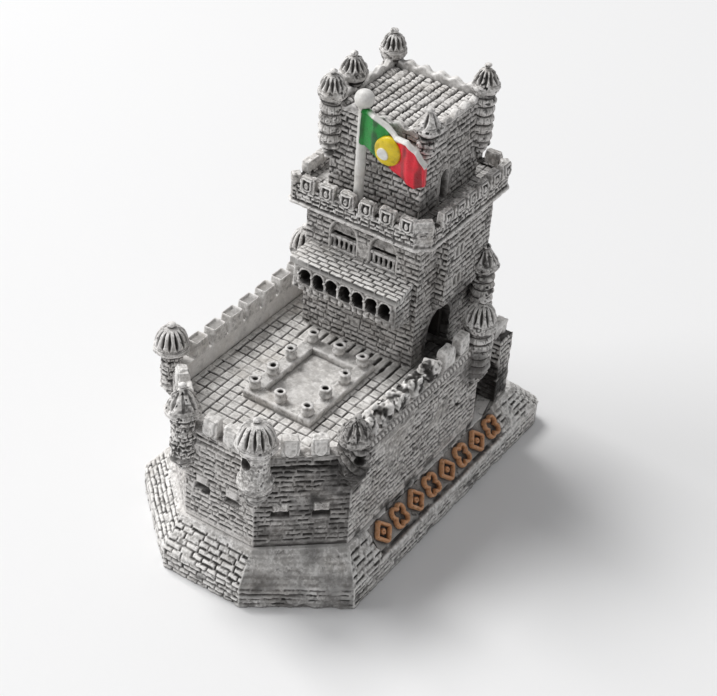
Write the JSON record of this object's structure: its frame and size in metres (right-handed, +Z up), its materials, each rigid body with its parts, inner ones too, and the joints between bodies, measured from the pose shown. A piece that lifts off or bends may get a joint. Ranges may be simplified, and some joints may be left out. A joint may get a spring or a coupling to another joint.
{
  "type": "souvenir miniature building",
  "caption": "Free-standing cast resin miniature of a riverside fort: sloping skirt, pointed bastion with a tiled terrace, domed watch turrets, two-stage tower with a flag.",
  "frame": {"origin": "centre of the underside of the base, at the middle of the overall width and length", "axes": "+Z up, -Y towards the pointed front of the bastion, +Y towards the tower, +X towards the side with the ornament strip"},
  "size_m": [0.0626, 0.1, 0.101],
  "materials": {
    "bastion_resin": "cast resin, ashlar relief, dark wash in the joints",
    "boss_enamel": "hand-painted gloss enamel, yellow with a white spot",
    "flag_enamel": "hand-painted gloss enamel, green and red fields, bare white top edge",
    "gallery_resin": "cast resin, fine rough relief",
    "loggia_resin": "cast resin, fine relief",
    "merlon_resin": "cast resin, rough, dry-brushed near white",
    "motif_copper_paint": "terracotta copper paint on raised relief",
    "pole_resin": "cast resin, smooth, off-white",
    "roof_resin": "cast resin, rows of tile relief",
    "skirt_resin": "cast resin, brick relief, dark wash in the joints, dry-brushed pale",
    "strip_dark_wash": "dark wash",
    "terrace_resin": "cast resin, square tile relief, pale",
    "tower_resin": "cast resin, ashlar relief, dark wash",
    "turret_resin": "cast resin, ribbed domes, dark wash between the ribs"
  },
  "bodies": {
    "root": {"base_skirt": "skirt_resin", "bastion_core": "terrace_resin", "court_bollards": "terrace_resin", "court_kerbs": "terrace_resin", "flag": "flag_enamel", "flag_boss": "boss_enamel", "flagpole": "pole_resin", "gallery_merlons": "merlon_resin", "gallery_parapets_ends": "gallery_resin", "gallery_parapets_sides": "gallery_resin", "gallery_platform": "gallery_resin", "keep_core": "tower_resin", "keep_foot": "tower_resin", "keep_wall_front": "tower_resin", "keep_wall_left": "tower_resin", "keep_wall_rear": "tower_resin", "keep_wall_right": "tower_resin", "loggia_arcade": "loggia_resin", "loggia_cheeks": "loggia_resin", "loggia_floor": "loggia_resin", "loggia_roof": "roof_resin", "merlons_front": "merlon_resin", "merlons_side_left": "merlon_resin", "merlons_side_right": "merlon_resin", "ornament_motifs": "motif_copper_paint", "ornament_panel": "strip_dark_wash", "parapet_front_left": "bastion_resin", "parapet_front_right": "bastion_resin", "parapet_nose": "bastion_resin", "parapet_side_left": "bastion_resin", "parapet_side_right": "bastion_resin", "rear_bartizans": "turret_resin", "rear_link_walls": "bastion_resin", "rear_piers": "bastion_resin", "roof_deck": "roof_resin", "roof_kerbs": "roof_resin", "side_bay_left": "tower_resin", "side_bay_right": "tower_resin", "terrace_deck": "terrace_resin", "turret_front_left": "turret_resin", "turret_front_right": "turret_resin", "turret_nose_left": "turret_resin", "turret_nose_right": "turret_resin", "turret_rear_left": "turret_resin", "turret_rear_right": "turret_resin", "upper_tower_body": "tower_resin", "upper_turret_front_left": "turret_resin", "upper_turret_front_right": "turret_resin", "upper_turret_rear_left": "turret_resin", "upper_turret_rear_right": "turret_resin", "upper_turret_side_left": "turret_resin", "wall_front_left": "bastion_resin", "wall_front_right": "bastion_resin", "wall_nose": "bastion_resin", "wall_rear": "bastion_resin", "wall_side_left": "bastion_resin", "wall_side_right": "bastion_resin", "window_balustrades": "loggia_resin"}
  },
  "joints": []
}
